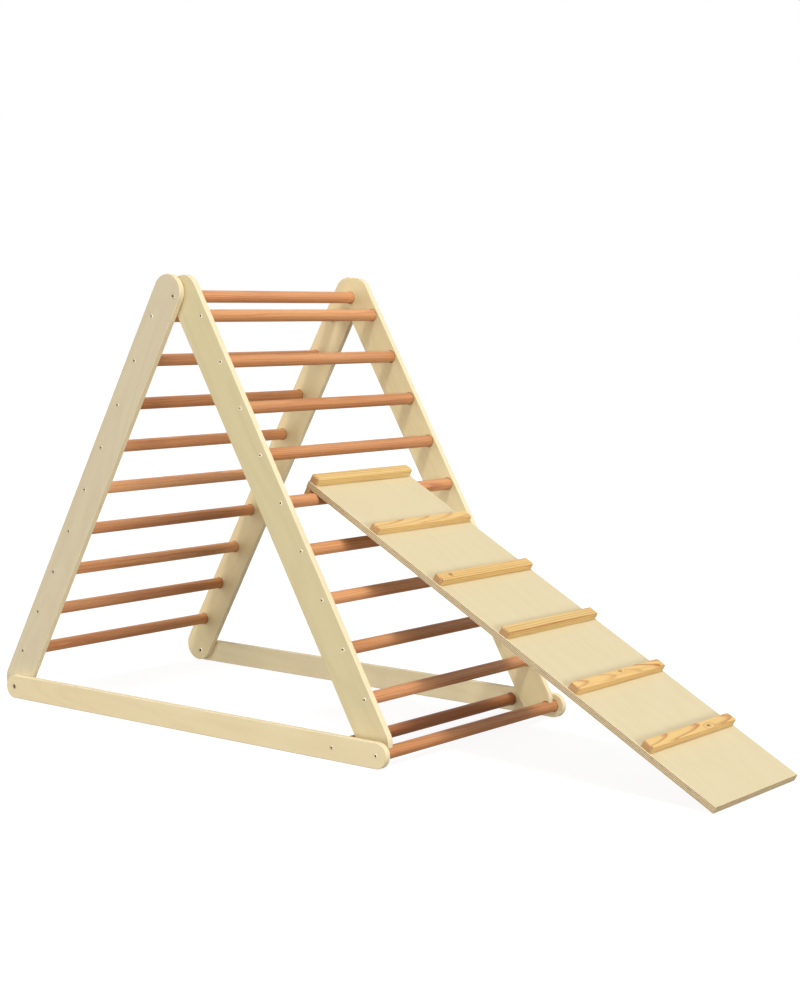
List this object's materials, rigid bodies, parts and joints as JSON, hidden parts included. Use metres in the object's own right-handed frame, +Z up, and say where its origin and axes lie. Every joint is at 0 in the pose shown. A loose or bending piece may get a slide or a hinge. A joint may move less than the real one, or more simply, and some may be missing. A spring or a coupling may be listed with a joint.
{
  "type": "folding climbing triangle",
  "caption": "Wooden climbing triangle with rung ladders hinged at the apex, a swinging base frame and a cleated ramp hooked over a rung.",
  "frame": {"origin": "middle of the whole footprint, on the floor", "axes": "+X towards the foot of the ramp, +Y along the rungs to the far side, +Z up"},
  "size_m": [1.8963, 0.68, 1.0251],
  "materials": {
    "birch_plywood": "clear satin lacquer",
    "stained_dowel": "red-brown stain, satin",
    "ramp_plywood": "clear satin lacquer",
    "pine": "clear satin lacquer",
    "steel": "zinc plated",
    "nylon": "plain"
  },
  "bodies": {
    "rear_ladder": {"rear_rail_near": "birch_plywood", "rear_rail_far": "birch_plywood", "rear_rung_1": "stained_dowel", "rear_rung_2": "stained_dowel", "rear_rung_3": "stained_dowel", "rear_rung_4": "stained_dowel", "rear_rung_5": "stained_dowel", "rear_rung_6": "stained_dowel", "rear_rung_7": "stained_dowel", "rear_rung_8": "stained_dowel", "rear_rung_9": "stained_dowel", "rear_rung_screws": "steel"},
    "front_ladder": {"front_rail_near": "birch_plywood", "front_rail_far": "birch_plywood", "front_rung_1": "stained_dowel", "front_rung_2": "stained_dowel", "front_rung_3": "stained_dowel", "front_rung_4": "stained_dowel", "front_rung_5": "stained_dowel", "front_rung_6": "stained_dowel", "front_rung_7": "stained_dowel", "front_rung_8": "stained_dowel", "front_rung_9": "stained_dowel", "front_rung_screws": "steel", "apex_rung": "stained_dowel", "apex_bolts": "steel", "apex_washers": "nylon"},
    "base_frame": {"base_bar_near": "birch_plywood", "base_bar_far": "birch_plywood", "base_rung_front": "stained_dowel", "base_rung_inner": "stained_dowel", "base_rung_screws": "steel", "base_pivot_bolts": "steel", "base_pivot_nuts": "steel", "base_pivot_washers": "nylon"},
    "ramp": {"ramp_board": "ramp_plywood", "ramp_cleat_1": "pine", "ramp_cleat_2": "pine", "ramp_cleat_3": "pine", "ramp_cleat_4": "pine", "ramp_cleat_5": "pine", "ramp_cleat_6": "pine", "ramp_cleat_screws": "steel", "ramp_hook_block": "pine", "ramp_hook_screws": "steel"}
  },
  "joints": [
    {"name": "base_swing", "type": "hinge", "parent": "rear_ladder", "child": "base_frame", "pos_m": [-0.90132, 0, 0.028], "axis": [0, 1, 0], "range_deg": [0, 294]},
    {"name": "front_fold", "type": "hinge", "parent": "rear_ladder", "child": "front_ladder", "pos_m": [-0.3747, 0, 0.9755], "axis": [0, 1, 0], "range_deg": [0, 58.8]},
    {"name": "ramp_tilt", "type": "hinge", "parent": "front_ladder", "child": "ramp", "pos_m": [-0.06863, 0, 0.53379], "axis": [0, -1, 0], "range_deg": [0, 60]}
  ],
  "couplings": [
    {"joint": "front_fold", "follows": "base_swing", "ratio": 0.2}
  ]
}
